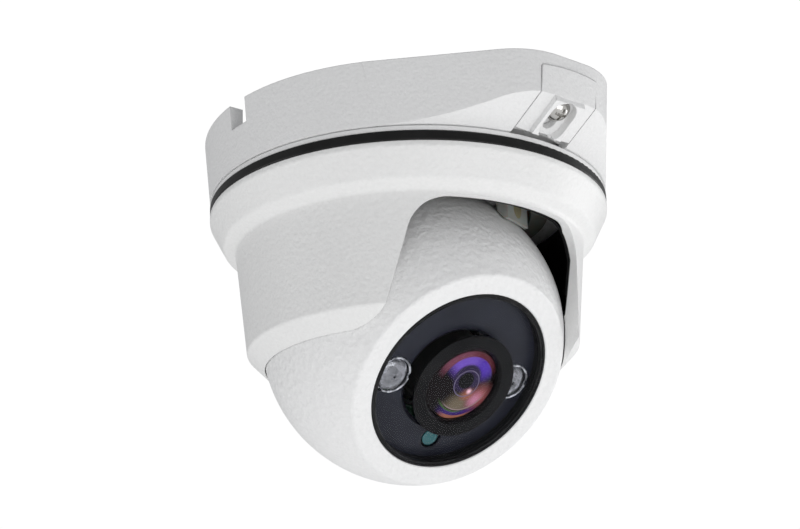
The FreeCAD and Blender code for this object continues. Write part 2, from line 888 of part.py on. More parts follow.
def bracket_arch():
    """A strap, round about the tilt axis, that follows the ball over its crown and down its back."""
    strap = doc.addObject("Part::Cylinder", "arch_strap")
    bind(strap, Radius="arch_radius", Height="arch_width",
         Placement__Base__x="-arch_width / 2", Placement__Base__z="-ball_centre")
    strap.Placement.Rotation = FreeCAD.Rotation(FreeCAD.Vector(0, 1, 0), 90)
    strip = box("arch_strip", "arch_width + 2", "60", "50", 0, "30 - arch_front", "-arch_low")
    return shared("bracket_arch", [strap, strip])


def finger_pad(label, angle, grow):
    """An oval pad let into the outer face of a finger."""
    pad = doc.addObject("Part::Ellipse", label + "_oval")
    bind(pad, MajorRadius=f"pad_long + {grow}", MinorRadius=f"pad_short + {grow}")
    solid = doc.addObject("Part::Extrusion", label)
    solid.Base = pad
    solid.DirMode = "Custom"
    solid.Dir = FreeCAD.Vector(0, 0, 1)
    solid.setExpression("LengthFwd", bound("pad_thick"))
    solid.Solid = True
    heading = FreeCAD.Rotation(FreeCAD.Vector(0, 0, 1), angle)
    outward = FreeCAD.Rotation(FreeCAD.Vector(0, 1, 0), 90)
    reach = number("finger_outer - pad_thick + pad_proud")
    height = number("pad_long + pad_rise - finger_low")
    place = heading.multVec(FreeCAD.Vector(reach, 0, height))
    solid.Placement = FreeCAD.Placement(place, heading * outward)
    return solid


def bracket_pads():
    pads = []
    for index, (_, _, angle) in enumerate(round_spots("1", "finger_count", "finger_heading - 90")):
        pads.append(finger_pad(f"bracket_pad_{index}", angle, "0"))
    return group("bracket_pads", pads)


# ---------------------------------------------------------------- ball shells (ball frame)
def ball_front_shell():
    outside = ball_slice("front_outside", "ball_radius", "-seam_plane", "front_plane")
    inside = ball_slice("front_inside", "ball_inner", "-seam_plane - 0.01", "front_inner")
    opening = cylinder("front_opening", "ledge_opening", "20", z="front_inner - 5")
    rebate = cylinder("front_rebate", "window_bore", "10", z="ledge_plane")
    shell = cut("front_shell_blank", outside, [inside, opening, rebate])
    doc.recompute()
    rim = doc.addObject("Part::Fillet", "ball_front_shell")
    rim.Base = shell
    outer_rim = circle_at("sqrt(ball_radius^2 - front_plane^2)", "front_plane")
    inner_rim = circle_at("window_bore", "front_plane")
    edges = []
    for index, edge in enumerate(shell.Shape.Edges, start=1):
        if outer_rim(edge):
            edges.append((index, number("front_rim_round"), number("front_rim_round")))
        elif inner_rim(edge):
            edges.append((index, number("rebate_round"), number("rebate_round")))
    rim.Edges = edges
    return rim


def ball_rear_shell():
    outside = ball_slice("rear_outside", "ball_radius", "-rear_plane", "-seam_plane")
    inside = ball_slice("rear_inside", "ball_inner", "-rear_inner", "-seam_plane + 0.01")
    spigot = turned("rear_spigot", [
        ("shell_spigot_bore", "-seam_plane - 2"),
        ("shell_spigot_radius + 1.2", "-seam_plane - 2"),
        ("shell_spigot_radius + 1.2", "-seam_plane - oring_depth"),
        ("shell_spigot_radius", "-seam_plane - oring_depth"),
        ("shell_spigot_radius", "-seam_plane + spigot_length"),
        ("shell_spigot_bore", "-seam_plane + spigot_length"),
    ])
    hub_hole = cylinder("rear_hub_hole", "hub_hole", "10", z="-rear_plane - 2")
    groove = turned("rear_groove", [
        ("oring_inner", "-seam_plane - oring_depth"),
        ("oring_outer", "-seam_plane - oring_depth"),
        ("oring_outer", "-seam_plane + 1"),
        ("oring_inner", "-seam_plane + 1"),
    ])
    shell = cut("rear_shell_blank", outside, [inside])
    return cut("ball_rear_shell", fused("rear_with_spigot", [shell, spigot]), [hub_hole, groove])


def shell_seal():
    return turned("shell_seal", [
        ("oring_inner", "-seam_plane - oring_depth"),
        ("oring_outer", "-seam_plane - oring_depth"),
        ("oring_outer", "-seam_plane"),
        ("oring_inner", "-seam_plane"),
    ])


# ---------------------------------------------------------------- window (ball frame)
def window_retainer():
    return turned("window_retainer", [
        ("retain_inner", "ledge_plane + mask_thick"),
        ("window_bore - 0.08", "ledge_plane + mask_thick"),
        ("window_bore - 0.08", "retain_front"),
        ("retain_rebate", "retain_front"),
        ("retain_rebate", "retain_shelf"),
        ("retain_inner", "retain_shelf"),
    ])


def window_gasket():
    return turned("window_gasket", [
        ("retain_inner", "retain_shelf"),
        ("retain_rebate", "retain_shelf"),
        ("retain_rebate", "glass_back"),
        ("retain_inner", "glass_back"),
    ])


def window_glass():
    return turned("window_glass", [
        ("0", "glass_back"),
        ("retain_rebate", "glass_back"),
        ("retain_rebate", "glass_front"),
        ("0", "glass_front"),
    ])


def lamp_spots():
    return (("left", "-led_spread"), ("right", "led_spread"))


def led_mask():
    plate = cylinder("mask_plate", "mask_radius", "mask_thick", z="ledge_plane")
    bevel = turned("mask_bevel_tool", [
        ("0", "ledge_plane - 1"),
        ("mask_lens_hole", "ledge_plane - 1"),
        ("mask_lens_hole", "ledge_plane + mask_thick - mask_bevel"),
        ("mask_lens_hole + mask_bevel", "ledge_plane + mask_thick"),
        ("mask_lens_hole + mask_bevel", "ledge_plane + mask_thick + 1"),
        ("0", "ledge_plane + mask_thick + 1"),
    ])
    bind(bevel, Placement__Base__y="-mask_hole_drop")
    sensor_hole = cylinder("mask_sensor_hole", "light_sensor_hole", "4",
                           0, "-sensor_offset", "ledge_plane - 1")
    holes = [bevel, sensor_hole]
    for side, x in lamp_spots():
        holes.append(cylinder(f"mask_lamp_hole_{side}", "led_lens_radius + 0.15", "4",
                              x, "-led_drop", "ledge_plane - 1"))
    return cut("led_mask", plate, holes)


def led_lens(side, x):
    """A clear cap: a skirt, a stepped rim and a low faceted dome."""
    label = f"led_lens_{side}"
    rise = "(led_lens_top - led_lens_rim)"
    cap = turned(label + "_cap", [
        ("0", "led_lens_low"),
        ("led_lens_radius", "led_lens_low"),
        ("led_lens_radius", "led_lens_rim"),
        ("led_lens_radius - 0.35", "led_lens_rim"),
        ("led_lens_radius * 0.8", f"led_lens_rim + {rise} * 0.45"),
        ("led_lens_radius * 0.5", f"led_lens_rim + {rise} * 0.85"),
        ("led_lens_radius * 0.2", "led_lens_top"),
        ("0", "led_lens_top"),
    ])
    bind(cap, Placement__Base__x=x, Placement__Base__y="-led_drop")
    return group(label, [cap])


def led_board():
    plate = cylinder("led_board_plate", "led_board_radius", "board_thick", z="led_board_low")
    hole = cylinder("led_board_opening", "led_board_hole", "6", z="led_board_low - 2")
    return cut("led_board", plate, [hole])


def ir_leds():
    chips = []
    for side, x in lamp_spots():
        chips.append(box(f"ir_led_{side}", "emitter_size", "emitter_size", "emitter_height",
                         x, "-led_drop", "led_board_low + board_thick"))
    return group("ir_leds", chips)


def light_sensor():
    can = cylinder("light_sensor_can", "light_sensor_radius",
                   "light_sensor_top - led_board_low - board_thick",
                   0, "-sensor_offset", "led_board_low + board_thick")
    return group("light_sensor", [can])


# ---------------------------------------------------------------- lens (ball frame, about the lens axis)
def lens_barrel():
    return turned("lens_barrel", [
        ("barrel_rear_bore", "barrel_rear"),
        ("barrel_flange", "barrel_rear"),
        ("barrel_flange", "barrel_flange_top"),
        ("barrel_radius", "barrel_flange_top"),
        ("barrel_radius", "barrel_front"),
        ("barrel_front_bore", "barrel_front"),
        ("barrel_front_bore", "barrel_step"),
        ("barrel_rear_bore", "barrel_step"),
    ])


def grip_ring(label, points, grip, low, high):
    """A ring with a ribbed grip and a lock lever that sticks out sideways."""
    blank = turned(label + "_blank", points)
    grooves = []
    for index, (x, y, _) in enumerate(round_spots(f"({grip}) + groove_rise", "groove_count")):
        grooves.append(cylinder(f"{label}_groove_{index}", "groove_radius", f"({high}) - ({low}) + 2",
                                x, y, f"({low}) - 1"))
    ring = cut(label + "_ribbed", blank, grooves)
    lever = cylinder(label + "_lever", "lever_radius", "lever_reach - barrel_radius - 1")
    lever.Placement.Rotation = FreeCAD.Rotation(FreeCAD.Vector(0, 1, 0), 90)
    bind(lever, Placement__Base__x="barrel_radius + 1",
         Placement__Base__z=f"(({low}) + ({high})) / 2")
    return fused(label, [ring, lever])


def focus_ring():
    bore = "barrel_radius + ring_clearance"
    return grip_ring("focus_ring", [
        (bore, "focus_low"),
        ("focus_grip", "focus_low"),
        ("focus_grip", "focus_grip_top"),
        ("focus_neck", "focus_grip_top"),
        ("focus_neck", "focus_flange_low"),
        ("focus_flange", "focus_flange_low"),
        ("focus_flange", "focus_front"),
        ("focus_mouth", "focus_front"),
        (bore, "focus_flange_low - 0.2"),
    ], "focus_grip", "focus_low", "focus_grip_top")


def zoom_ring():
    bore = "barrel_radius + ring_clearance"
    return grip_ring("zoom_ring", [
        (bore, "zoom_low"),
        ("zoom_grip", "zoom_low"),
        ("zoom_grip", "zoom_top"),
        (bore, "zoom_top"),
    ], "zoom_grip", "zoom_low", "zoom_top")


def front_lens():
    rise = "(front_lens_crown - front_lens_edge)"
    radius = f"(barrel_radius^2 + {rise}^2) / (2 * {rise})"
    crown = ball("front_lens_crown_ball", radius, f"front_lens_crown - {radius}")
    blank = cylinder("front_lens_blank", "barrel_radius", "front_lens_crown - barrel_front + 1",
                     z="barrel_front")
    return shared("front_lens", [crown, blank])


def inner_lens():
    disc = cylinder("inner_lens_disc", "barrel_front_bore", "inner_lens_top - inner_lens_low",
                    z="inner_lens_low")
    return group("inner_lens", [disc])


def rear_lens():
    disc = cylinder("rear_lens_disc", "barrel_rear_bore", "rear_lens_top - rear_lens_low",
                    z="rear_lens_low")
    return group("rear_lens", [disc])


def lens_holder():
    block = box("holder_block", "holder_width", "holder_depth", "barrel_rear - holder_low",
                0, 0, "holder_low")
    light_path = cylinder("holder_light_path", "barrel_rear_bore", "20", z="holder_low - 2")
    chip_room = box("holder_chip_room", "holder_cavity", "holder_cavity", "3",
                    0, 0, "holder_low - 1")
    slide_room = box("holder_slide_room", "shutter_length + shutter_travel + 1", "shutter_width + 0.6",
                     "shutter_thick + 0.6", 0, 0, "shutter_low - 0.3")
    return cut("lens_holder", block, [light_path, chip_room, slide_room])


def ircut_shutter():
    """A sliding plate with two filter openings; one stands in the light path at rest."""
    plate = box("shutter_plate", "shutter_length", "shutter_width", "shutter_thick",
                "shutter_travel / 2", 0, "shutter_low")
    window = cylinder("shutter_window", "filter_radius - 0.6", "4",
                      "-shutter_travel / 2 - 0.6", 0, "shutter_low - 1")
    return cut("ircut_shutter", plate, [window])


def image_sensor():
    chip = box("image_sensor_chip", "chip_size", "chip_size", "chip_height", 0, 0, "holder_low")
    return group("image_sensor", [chip])


# ---------------------------------------------------------------- boards (ball frame)
def post_spots():
    return round_spots("post_circle", "post_count", "post_heading")


def chassis_posts():
    posts = []
    for index, (x, y, _) in enumerate(post_spots()):
        posts.append(cylinder(f"chassis_post_{index}", "post_radius", "led_board_low - holder_low",
                              x, y, "holder_low"))
    return group("chassis_posts", posts)


def mask_pillars():
    pillars = []
    for index, (x, y, _) in enumerate(post_spots()):
        pillars.append(cylinder(f"mask_pillar_{index}", "post_radius - 0.4",
                                "ledge_plane - led_board_low - board_thick",
                                x, y, "led_board_low + board_thick"))
    return group("mask_pillars", pillars)


def sensor_board():
    plate = cylinder("sensor_board_plate", "sensor_board_radius", "board_thick",
                     z="holder_low - board_thick")
    return group("sensor_board", [plate])


def main_board():
    plate = cylinder("main_board_plate", "main_board_radius", "board_thick", z="main_board_low")
    holes = []
    for index, (x, y, _) in enumerate(post_spots()):
        holes.append(cylinder(f"main_board_hole_{index}", "board_screw_hole", "4",
                              x, y, "main_board_low - 1"))
    return cut("main_board", plate, holes)


def board_standoffs():
    standoffs = []
    for index, (x, y, _) in enumerate(post_spots()):
        standoffs.append(cylinder(f"standoff_{index}", "standoff_radius",
                                  "holder_low - 2 * board_thick - main_board_low", x, y,
                                  "main_board_low + board_thick"))
    return group("board_standoffs", standoffs)


def board_screws():
    screws = []
    for index, (x, y, _) in enumerate(post_spots()):
        screws.append(pan_screw(f"board_screw_{index}", "board_screw_head", "board_screw_height",
                                "board_screw_shank", "board_thick", x, y, "main_board_low", up=False))
    return group("board_screws", screws)


def board_connectors():
    plugs = []
    for name, side in (("a", "-1"), ("b", "1")):
        plugs.append(box(f"connector_{name}", "connector_length", "connector_width", "connector_height",
                         0, f"{side} * connector_offset", "main_board_low - connector_height"))
    return group("board_connectors", plugs)


# ---------------------------------------------------------------- tilt hub (ball frame)
def tilt_hub():
    """Disc behind the ball with a spigot through its rear wall and a hollow stem for the cable."""
    gap = "running_gap"
    return turned("tilt_hub", [
        ("hub_cable_bore", f"-rear_inner + {gap} + hub_nut_thick"),
        ("hub_spigot", f"-rear_inner + {gap} + hub_nut_thick"),
        ("hub_spigot", f"-rear_plane - {gap}"),
        ("hub_disc", f"-rear_plane - {gap}"),
        ("hub_disc", f"-rear_plane - {gap} - hub_disc_thick"),
        ("hub_stem", f"-rear_plane - {gap} - hub_disc_thick"),
        ("hub_stem", "-hub_stem_top"),
        ("hub_cable_bore", "-hub_stem_top"),
    ])


def hub_nut():
    return turned("hub_nut", [
        ("hub_spigot", "-rear_inner + running_gap"),
        ("hub_nut_radius", "-rear_inner + running_gap"),
        ("hub_nut_radius", "-rear_inner + running_gap + hub_nut_thick"),
        ("hub_spigot", "-rear_inner + running_gap + hub_nut_thick"),
    ])


# ---------------------------------------------------------------- places
def head_place():
    turn = FreeCAD.Rotation(FreeCAD.Vector(0, 0, 1), number("cover_heading"))
    return FreeCAD.Placement(FreeCAD.Vector(), turn)


def ball_place(roll, shift_x="0", shift_y="0"):
    dip = FreeCAD.Rotation(FreeCAD.Vector(1, 0, 0), 90 + number("lens_dip"))
    spin = FreeCAD.Rotation(FreeCAD.Vector(0, 0, 1), roll)
    turn = dip * spin
    centre = FreeCAD.Vector(0, 0, -number("ball_centre"))
    shift = FreeCAD.Vector(number(shift_x), number(shift_y), 0)
    return FreeCAD.Placement(centre + turn.multVec(shift), turn)


def place(pieces, where):
    for piece in pieces:
        piece.Placement = where
    return pieces


level = [base_housing(), cable_grommet(), latch_slider(), latch_screw(), ball_bracket(), bracket_pads(),
         wave_spring()]
head = place([carrier_ring(), seal_ring(), retainer_ring(), retainer_screws(), cover(), cover_screws(),
              inner_shroud()], head_place())
cradle = place([tilt_hub(), hub_nut()], ball_place(0))
in_ball = place([
    ball_front_shell(), ball_rear_shell(), shell_seal(), window_retainer(), window_gasket(), window_glass(),
    led_mask(), led_board(), ir_leds(), light_sensor(), chassis_posts(), mask_pillars(), sensor_board(),
    main_board(), board_standoffs(), board_screws(), board_connectors(),
] + [led_lens(side, x) for side, x in lamp_spots()], ball_place(number("ball_roll")))
in_lens = place([
    lens_barrel(), focus_ring(), zoom_ring(), front_lens(), inner_lens(), rear_lens(), lens_holder(),
    ircut_shutter(), image_sensor(),
], ball_place(number("ball_roll"), "lens_shift_x", "lens_shift_y"))
subparts = level + head + cradle + in_ball + in_lens
doc.recompute()

# ---------------------------------------------------------------- checks and export
faults = []
for item in doc.Objects:
    if "Invalid" in item.State or "Error" in item.State:
        faults.append(f"{item.Label}: {item.State}")
for piece in subparts:
    shape = piece.Shape
    if shape.isNull() or not shape.isValid() or not shape.Solids:
        faults.append(f"{piece.Label}: bad shape")
if faults:
    raise RuntimeError("; ".join(faults))
for piece in subparts:
    piece.Shape.exportStep(f"parts/{piece.Label}.step")
    print(f"{piece.Label}: {piece.Shape.Volume:.1f} mm3, {len(piece.Shape.Solids)} solid(s)")
print(len(subparts), "sub-parts")
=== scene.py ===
import json
import math

import bmesh
import bpy
from mathutils import Matrix, Vector


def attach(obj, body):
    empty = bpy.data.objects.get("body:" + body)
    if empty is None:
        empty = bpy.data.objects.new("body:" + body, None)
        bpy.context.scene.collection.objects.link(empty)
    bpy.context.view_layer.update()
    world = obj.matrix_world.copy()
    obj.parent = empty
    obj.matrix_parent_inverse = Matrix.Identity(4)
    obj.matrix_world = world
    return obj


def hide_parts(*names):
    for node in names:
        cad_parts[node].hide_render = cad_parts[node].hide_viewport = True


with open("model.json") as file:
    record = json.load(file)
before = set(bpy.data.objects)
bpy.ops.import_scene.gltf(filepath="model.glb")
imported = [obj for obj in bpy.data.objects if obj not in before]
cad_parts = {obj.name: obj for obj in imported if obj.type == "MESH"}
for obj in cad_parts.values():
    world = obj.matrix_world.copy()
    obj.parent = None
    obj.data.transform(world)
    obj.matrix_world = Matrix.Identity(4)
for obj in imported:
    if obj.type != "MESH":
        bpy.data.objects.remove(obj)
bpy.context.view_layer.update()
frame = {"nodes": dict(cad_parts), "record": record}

MM = 0.001
TURN = 2 * math.pi

# ---------------------------------------------------------------- frames of reference
BALL_CENTRE = Vector((0, 0, -54.4)) * MM
LENS_DIP = math.radians(43.9)
BALL_ROLL = math.radians(6)
LENS_SHIFT = (2.0, -1.4)
LAMP_SPOTS = {"left": (-18.9, -0.7), "right": (18.9, -0.7)}

tilted = Matrix.Translation(BALL_CENTRE) @ Matrix.Rotation(math.pi / 2 + LENS_DIP, 4, "X")
BALL = tilted @ Matrix.Rotation(BALL_ROLL, 4, "Z")
LENS = BALL @ Matrix.Translation(Vector((*LENS_SHIFT, 0)) * MM)


# ---------------------------------------------------------------- shader helper
class Shader:
    """A node material with a Principled surface and the few node groups that the finishes share."""

    def __init__(self, name, **sockets):
        self.material = bpy.data.materials.new(name)
        self.material.use_nodes = True
        self.tree = self.material.node_tree
        self.tree.nodes.clear()
        self.output = self.tree.nodes.new("ShaderNodeOutputMaterial")
        self.bsdf = self.tree.nodes.new("ShaderNodeBsdfPrincipled")
        self.tree.links.new(self.bsdf.outputs[0], self.output.inputs["Surface"])
        self.coords = self.tree.nodes.new("ShaderNodeTexCoord")
        self.place = self.coords.outputs["Object"]
        self.set(**sockets)

    def feed(self, socket, value):
        """Link a socket to another one, or give it a value; a colour may leave out its alpha."""
        if isinstance(value, bpy.types.NodeSocket):
            self.tree.links.new(value, socket)
            return
        is_colour = hasattr(socket.default_value, "__len__") and len(socket.default_value) == 4
        if is_colour and len(value) == 3:
            value = (*value, 1)
        socket.default_value = value

    def set(self, **sockets):
        for name, value in sockets.items():
            self.feed(self.bsdf.inputs[name.replace("_", " ")], value)

    def math(self, operation, *values, clamp=False):
        node = self.tree.nodes.new("ShaderNodeMath")
        node.operation = operation
        node.use_clamp = clamp
        for socket, value in zip(node.inputs, values):
            self.feed(socket, value)
        return node.outputs[0]

    def vector(self, operation, *values, output="Vector"):
        node = self.tree.nodes.new("ShaderNodeVectorMath")
        node.operation = operation
        for socket, value in zip(node.inputs, values):
            self.feed(socket, value)
        return node.outputs[output]

    def noise(self, scale, detail=2, place=None):
        node = self.tree.nodes.new("ShaderNodeTexNoise")
        self.feed(node.inputs["Vector"], place or self.place)
        node.inputs["Scale"].default_value = scale
        node.inputs["Detail"].default_value = detail
        return node.outputs[0]

    def grains(self, scale):
        node = self.tree.nodes.new("ShaderNodeTexVoronoi")
        node.feature = "SMOOTH_F1"
        self.feed(node.inputs["Vector"], self.place)
        node.inputs["Scale"].default_value = scale
        return node.outputs["Distance"]

    def span(self, value, low, high, to_low=0.0, to_high=1.0, smooth=False):
        node = self.tree.nodes.new("ShaderNodeMapRange")
        if smooth:
            node.interpolation_type = "SMOOTHSTEP"
        for socket, number in zip(node.inputs, (value, low, high, to_low, to_high)):
            self.feed(socket, number)
        return node.outputs[0]

    def mix(self, factor, first, second, blend="MIX"):
        node = self.tree.nodes.new("ShaderNodeMix")
        node.data_type = "RGBA"
        node.blend_type = blend
        self.feed(node.inputs[0], factor)
        self.feed(node.inputs[6], first)
        self.feed(node.inputs[7], second)
        return node.outputs[2]

    def bump(self, height, distance, edge=0.0):
        """Relief of this depth in millimetres, over edges that look broken to this radius."""
        node = self.tree.nodes.new("ShaderNodeBump")
        node.inputs["Distance"].default_value = distance * MM
        self.feed(node.inputs["Height"], height)
        if edge:
            soft = self.tree.nodes.new("ShaderNodeBevel")
            soft.samples = 6
            soft.inputs["Radius"].default_value = edge * MM
            self.feed(node.inputs["Normal"], soft.outputs[0])
        self.set(Normal=node.outputs[0])


# ---------------------------------------------------------------- finishes
def powder_coat(name, colour, grain, edge, depth):
    """White powder coat: a fine orange peel, faint patches of tone, painted shade in the hollows of
    the peel and a soft gloss.
    """
    shader = Shader(name)
    peel = shader.noise(grain, 3)
    patches = shader.noise(38, 2)
    tone = shader.span(patches, 0.3, 0.7, 0.985, 1.0)
    # painted shade: the hollows of the orange peel are a little darker in colour
    peel_hollow_shade = shader.span(peel, 0.3, 0.6, 0.965, 1.0)
    shader.set(
        Base_Color=shader.mix(1.0, colour, shader.math("MULTIPLY", tone, peel_hollow_shade), "MULTIPLY"),
        Roughness=shader.span(peel, 0.3, 0.7, 0.36, 0.5),
        Specular_IOR_Level=0.45,
    )
    beads = shader.math("MULTIPLY", shader.grains(grain * 0.7), 0.6)
    shader.bump(shader.math("ADD", peel, beads), depth, edge)
    return shader


COWL_WALL_TOP = -33.6 * MM
COWL_WALL_KNEE = (-40 * MM, 44.75 * MM)
COWL_WALL_FOOT = (-53.2 * MM, 41.35 * MM)


def paint_shade_inside_cowl(shader, colour):
    """Painted shade: the cowl's inner wall is painted black, everything within a hair of the inner
    profile, where the deep shade inside the cowl falls.
    """
    foot, foot_radius = COWL_WALL_FOOT
    knee, knee_radius = COWL_WALL_KNEE
    parts = shader.tree.nodes.new("ShaderNodeSeparateXYZ")
    shader.feed(parts.inputs[0], shader.place)
    across = shader.math("POWER", parts.outputs[0], 2.0)
    along = shader.math("POWER", parts.outputs[1], 2.0)
    radius = shader.math("SQRT", shader.math("ADD", across, along))
    wall = shader.span(parts.outputs[2], foot, knee, foot_radius, knee_radius)
    inside = shader.span(shader.math("SUBTRACT", radius, wall), 0.3 * MM, 0.15 * MM)
    above = shader.math("GREATER_THAN", parts.outputs[2], foot)
    below = shader.math("LESS_THAN", parts.outputs[2], COWL_WALL_TOP)
    # the painted shade covers only the inner wall between its foot and its top
    amount = shader.math("MULTIPLY", inside, shader.math("MULTIPLY", above, below))
    old = shader.bsdf.inputs["Base Color"].links[0].from_socket
    shader.set(Base_Color=shader.mix(amount, old, colour))


def moulded(name, colour, low, high, grain=1500, depth=0.02, edge=0.15, **sockets):
    """Moulded plastic, rubber or anodised metal: one colour, worn a little by its grain."""
    shader = Shader(name, **sockets)
    fine = shader.noise(grain, 3)
    broad = shader.noise(120, 3)
    lighter = [min(1.0, channel * 1.35 + 0.004) for channel in colour]
    shader.set(
        Base_Color=shader.mix(shader.span(broad, 0.35, 0.7), colour, lighter),
        Roughness=shader.span(fine, 0.3, 0.7, low, high),
    )
    shader.bump(fine, depth, edge)
    return shader


def metal(name, colour, low, high, edge=0.12):
    """Bare or plated metal with faint smears in its tone and gloss."""
    shader = Shader(name, Metallic=1.0)
    smear = shader.noise(420, 4)
    darker = [channel * 0.8 for channel in colour]
    shader.set(
        Base_Color=shader.mix(shader.span(smear, 0.3, 0.75), colour, darker),
        Roughness=shader.span(smear, 0.3, 0.7, low, high),
    )
    shader.bump(smear, 0.01, edge)
    return shader


def clear(name, tint, haze, cover):
    """Clear plastic or glass: mostly see-through, with the gloss that its angle gives."""
    shader = Shader(name, Base_Color=tint, Roughness=haze, IOR=1.5)
    gloss = shader.tree.nodes.new("ShaderNodeBsdfGlossy")
    gloss.inputs["Roughness"].default_value = haze
    through = shader.tree.nodes.new("ShaderNodeBsdfTransparent")
    through.inputs["Color"].default_value = (*tint, 1)
    slant = shader.tree.nodes.new("ShaderNodeLayerWeight")
    glance = shader.math("POWER", slant.outputs["Facing"], 5.0)
    mirror = shader.math("MULTIPLY_ADD", glance, 0.5, 0.001)
    smear = shader.span(shader.noise(260, 3), 0.35, 0.75, cover * 0.7, cover)
    amount = shader.math("ADD", mirror, smear, clamp=True)
    blend = shader.tree.nodes.new("ShaderNodeMixShader")
    shader.feed(blend.inputs[0], amount)
    shader.feed(blend.inputs[1], through.outputs[0])
    shader.feed(blend.inputs[2], gloss.outputs[0])
    shader.feed(shader.output.inputs["Surface"], blend.outputs[0])
    return shader


def circuit(name):
    """Green solder mask over copper tracks."""
    shader = Shader(name, IOR=1.5)
    tracks = shader.grains(520)
    copper = shader.span(tracks, 0.42, 0.46)
    shader.set(
        Base_Color=shader.mix(copper, (0.012, 0.09, 0.035), (0.03, 0.2, 0.08)),
        Roughness=shader.span(shader.noise(900), 0.3, 0.7, 0.3, 0.45),
    )
    shader.bump(copper, 0.03)
    return shader


def painted_lens_reflections(name):
    """Painted reflections: the coloured sheen of a coated lens, its glints and a highlight painted
    into its colour, in zones about the lens axis and the stop inside it, whose dark pupil is
    painted shade.
    """
    shader = Shader(name, IOR=1.5, Roughness=0.12, Specular_IOR_Level=0.1, Coat_Weight=0.05,
                    Coat_Roughness=0.05)
    origin = LENS.translation
    side = Vector(LENS.col[0][:3]) / MM
    up = Vector(LENS.col[1][:3]) / MM
    offset = shader.vector("SUBTRACT", shader.place, origin)
    across = shader.vector("DOT_PRODUCT", offset, side, output="Value")
    along = shader.vector("DOT_PRODUCT", offset, up, output="Value")

    def distance(x, y, stretch=1.0):
        dx = shader.math("SUBTRACT", across, x)
        dy = shader.math("MULTIPLY", shader.math("SUBTRACT", along, y), stretch)
        total = shader.math("ADD", shader.math("MULTIPLY", dx, dx), shader.math("MULTIPLY", dy, dy))
        return shader.math("SQRT", total)

    def blob(x, y, radius, soft, stretch=1.0):
        return shader.span(distance(x, y, stretch), radius + soft, radius - soft, smooth=True)

    def band(x, y, radius, width, soft):
        off = shader.math("ABSOLUTE", shader.math("SUBTRACT", distance(x, y), radius))
        return shader.span(off, width + soft, width, smooth=True)

    def both(first, second):
        return shader.math("MULTIPLY", first, second)

    # dark glass, over which the painted reflections of the coating are laid
    colour = shader.mix(shader.noise(600), (0.004, 0.0025, 0.003), (0.009, 0.006, 0.006))
    for amount, tint in painted_lens_reflection_zones(blob, band, both):
        colour = shader.mix(amount, colour, tint)
    shader.set(Base_Color=colour)
    return shader


def painted_lens_reflection_zones(blob, band, both):
    """(amount, colour) layers in millimetres about the lens axis, each laid over the one before:
    painted reflections of the coating, painted glints, a painted highlight and the painted shade of
    the dark pupil.
    """
    rosy = (0.2, 0.06, 0.09)
    crimson = (0.12, 0.022, 0.03)
    violet = (0.05, 0.022, 0.16)
    amber = (0.42, 0.16, 0.1)
    lilac = (0.18, 0.09, 0.5)
    indigo = (0.09, 0.035, 0.42)
    olive = (0.16, 0.125, 0.08)
    coral = (0.4, 0.11, 0.11)
    pink = (0.52, 0.2, 0.3)
    dusk = (0.03, 0.02, 0.055)
    ember = (0.35, 0.12, 0.07)
    lens_edge = (0.16, 0.13, 0.22)
    ring_glint = (0.3, 0.22, 0.2)
    green_glint = (0.06, 0.11, 0.035)
    painted_pupil_shade = (0.002, 0.002, 0.003)
    painted_highlight = (1.0, 0.62, 0.7)
    whole = blob(0.9, -0.3, 10.0, 0.2)
    inner = blob(1.1, 0.3, 8.0, 0.2)
    core = blob(0.9, 0.9, 5.4, 0.5)
    return (
        # painted reflections: the coloured crescents and glows of the coating
        (both(band(0.9, -0.3, 9.1, 0.6, 0.6), blob(-3.2, 8.8, 6.5, 2.5)), rosy),
        (both(band(0.9, -0.3, 9.1, 0.7, 0.6), blob(5.5, 8.2, 4.5, 2.5)), crimson),
        (both(band(0.9, -0.3, 8.9, 0.8, 0.6), blob(1.5, -9.2, 5.5, 2.6)), violet),
        (both(band(0.9, -0.3, 9.8, 0.35, 0.4), blob(1.5, -10.2, 4.6, 2.0)), amber),
        (both(inner, blob(-1.0, 8.0, 5.2, 2.4)), lilac),
        (both(inner, blob(5.6, 5.6, 3.0, 2.4)), indigo),
        (both(inner, blob(0.4, -6.2, 3.4, 2.4)), olive),
        (both(whole, blob(6.8, -3.6, 2.8, 3.2)), coral),
        (both(inner, blob(5.6, -4.4, 1.8, 1.9)), pink),
        (both(core, blob(0.5, 2.2, 4.2, 0.6)), dusk),
        (both(core, blob(2.2, -2.6, 1.5, 1.6)), ember),
        # painted glints along the rims of the inner elements
        (band(0.8, 0.7, 3.8, 0.05, 0.16), lens_edge),
        (both(band(1.1, 0.3, 7.8, 0.06, 0.25), blob(3.0, -6.5, 6.5, 2.0)), ring_glint),
        (both(band(1.1, 0.1, 8.3, 0.1, 0.3), blob(-2.0, -8.0, 4.0, 2.0)), green_glint),
        # painted shade: the dark pupil of the stop
        (blob(0.3, 1.6, 2.35, 0.25), painted_pupil_shade),
        # painted highlight: a small pinkish spot
        (blob(2.4, -1.5, 0.6, 0.6), painted_highlight),
    )


